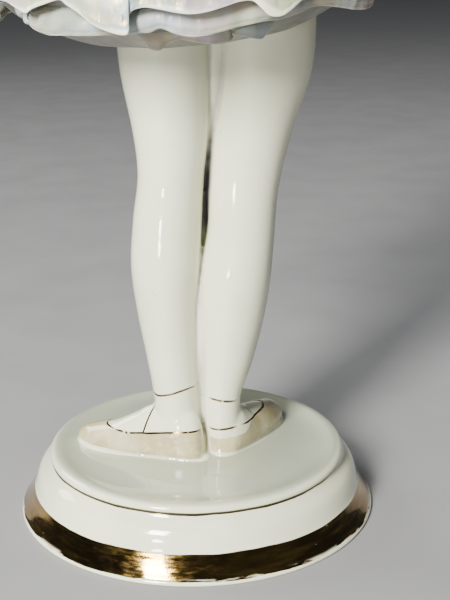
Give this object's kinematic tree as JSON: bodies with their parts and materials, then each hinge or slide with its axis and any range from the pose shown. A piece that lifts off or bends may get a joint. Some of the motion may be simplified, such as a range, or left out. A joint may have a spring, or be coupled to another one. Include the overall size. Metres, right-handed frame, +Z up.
{
  "type": "ballerina figurine",
  "caption": "Glazed porcelain ballerina standing with her heels together on a low round base, in a ruffled lustre tutu, with gilt lines.",
  "frame": {"origin": "centre of the base's underside, on the surface it stands on", "axes": "+Z up; the dancer faces -Y, and +X is her left"},
  "size_m": [0.1186, 0.1186, 0.2994],
  "materials": {
    "porcelain": "glossy white glaze, with mother-of-pearl lustre on the tutu and slippers and gilt lines"
  },
  "bodies": {
    "root": {"ballerina_figurine": "porcelain"}
  },
  "joints": []
}
